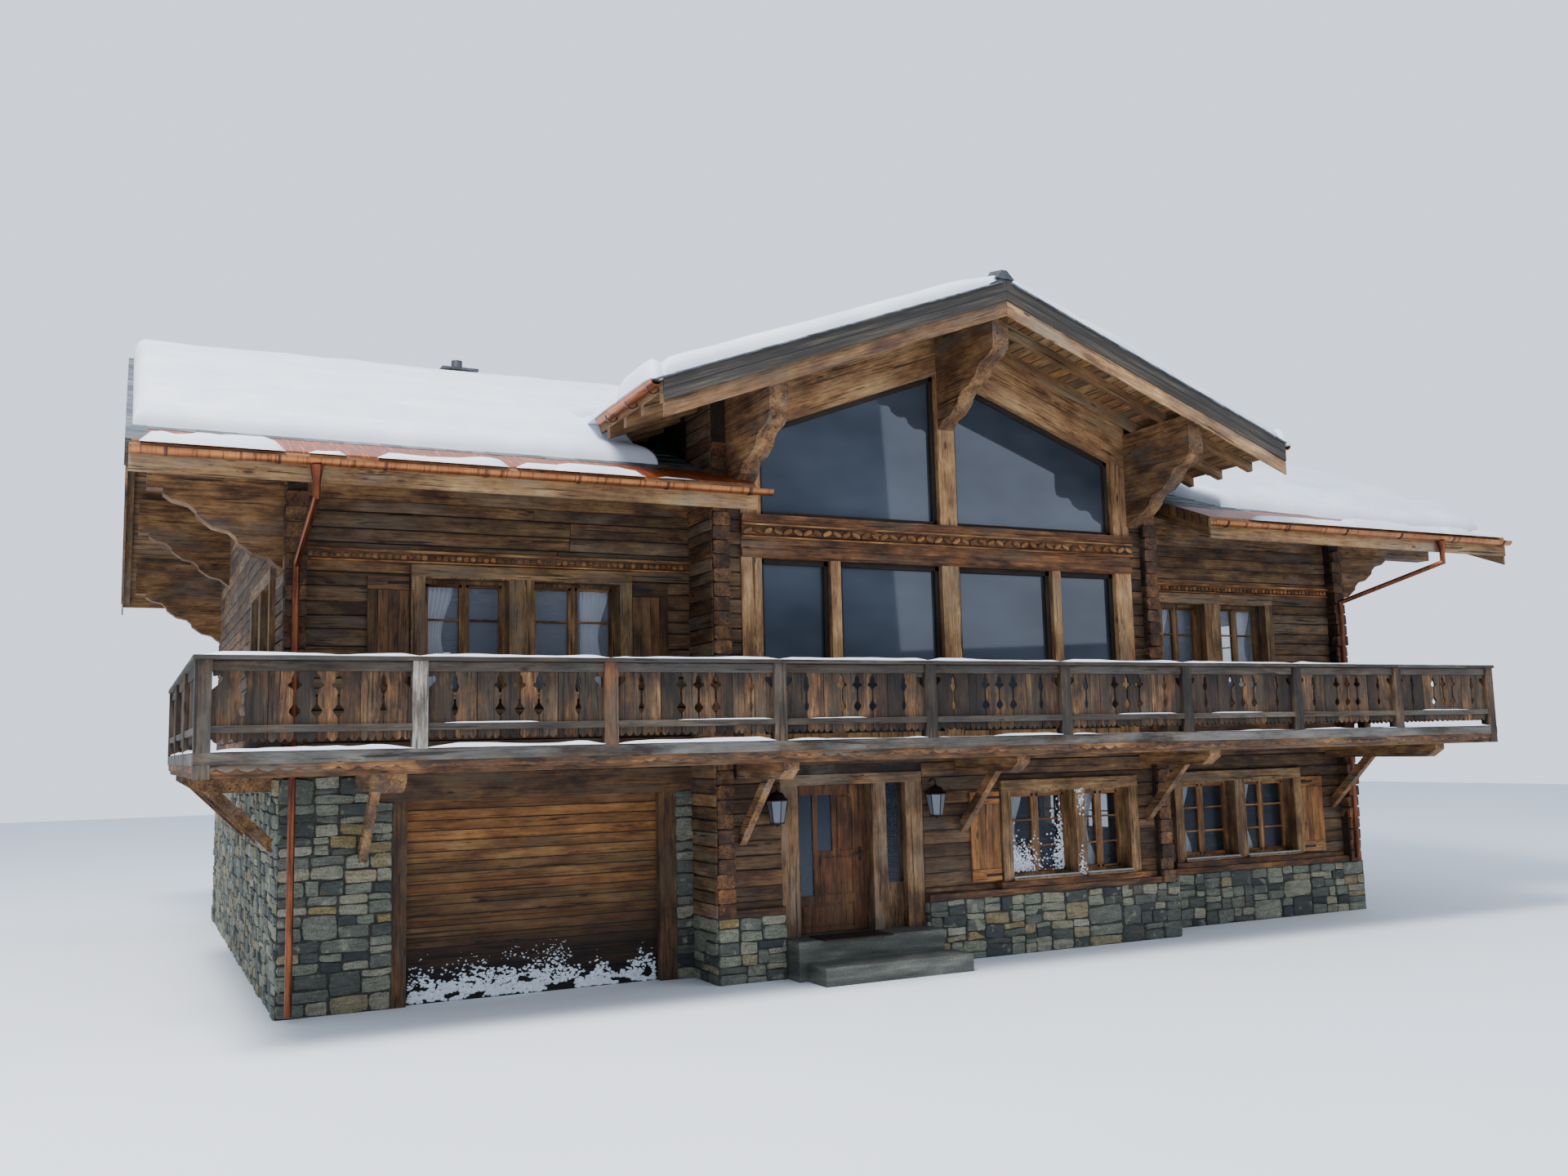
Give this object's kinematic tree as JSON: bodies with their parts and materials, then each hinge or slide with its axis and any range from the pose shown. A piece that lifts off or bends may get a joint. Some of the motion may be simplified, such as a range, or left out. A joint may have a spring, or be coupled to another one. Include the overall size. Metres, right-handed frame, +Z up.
{
  "type": "alpine chalet",
  "caption": "Timber chalet on a stone base: log walls, glazed centre gable, carved purlins, a fretwork balcony round three sides, garage and a hinged front door.",
  "frame": {"origin": "on the ground under the middle of the projecting centre, below the main ridge", "axes": "+X along the front to the right as seen from outside, +Y towards the back, +Z up"},
  "size_m": [21.93, 15.11, 9.94],
  "materials": {
    "log_timber": "weathered spruce logs",
    "grey_timber": "greyed and stained boards",
    "joinery_timber": "brown oiled joinery",
    "floor_timber": "boards on joists",
    "field_stone": "dry-looking flat field stones",
    "stone_slab": "sawn slabs",
    "concrete": "rough concrete",
    "slate_and_boards": "slates over boards and rafters",
    "copper": "oxidised copper",
    "sheet_metal": "dark sheet metal",
    "black_iron": "black painted iron",
    "window_glass": "clear double glazing",
    "snow": "settled snow"
  },
  "bodies": {
    "house": {"back_glass": "window_glass", "back_wall": "log_timber", "back_windows": "joinery_timber", "balcony_brackets": "grey_timber", "balcony_deck": "grey_timber", "balcony_fascia": "grey_timber", "balustrade_front": "grey_timber", "balustrade_left": "grey_timber", "balustrade_right": "grey_timber", "carved_band": "log_timber", "centre_glass": "window_glass", "centre_piers": "log_timber", "centre_posts": "log_timber", "chimney": "sheet_metal", "door_hinges": "black_iron", "downpipes": "copper", "eave_boards": "log_timber", "entrance_frame": "joinery_timber", "entrance_step": "stone_slab", "front_glass": "window_glass", "front_wall_left": "log_timber", "front_wall_right": "log_timber", "front_windows": "joinery_timber", "gable_frame": "log_timber", "gable_purlins": "log_timber", "gable_roof_left": "slate_and_boards", "gable_roof_right": "slate_and_boards", "gable_wall_left": "log_timber", "gable_wall_right": "log_timber", "garage_door": "log_timber", "garage_floor": "concrete", "garage_frame": "log_timber", "garage_stone": "field_stone", "ground_floor": "concrete", "gutters": "copper", "lanterns": "black_iron", "plinth_back": "field_stone", "plinth_front": "field_stone", "plinth_side": "field_stone", "purlins": "log_timber", "roof_back": "slate_and_boards", "roof_front_left": "slate_and_boards", "roof_front_right": "slate_and_boards", "roof_snow_gable": "snow", "roof_snow_main": "snow", "shutters": "joinery_timber", "side_glass": "window_glass", "side_wall_stone": "field_stone", "side_windows": "joinery_timber", "upper_floor": "floor_timber", "verge_boards": "grey_timber", "wall_left_of_entrance": "log_timber", "wall_over_entrance": "log_timber", "wall_right_of_entrance": "log_timber"},
    "front_door": {"front_door_leaf": "joinery_timber", "front_door_glass": "window_glass", "front_door_handle": "black_iron"}
  },
  "joints": [
    {"name": "front_door_hinge", "type": "hinge", "parent": "house", "child": "front_door", "pos_m": [-2.525, -6.05, 0], "axis": [0, 0, 1], "range_deg": [0, 100]}
  ]
}
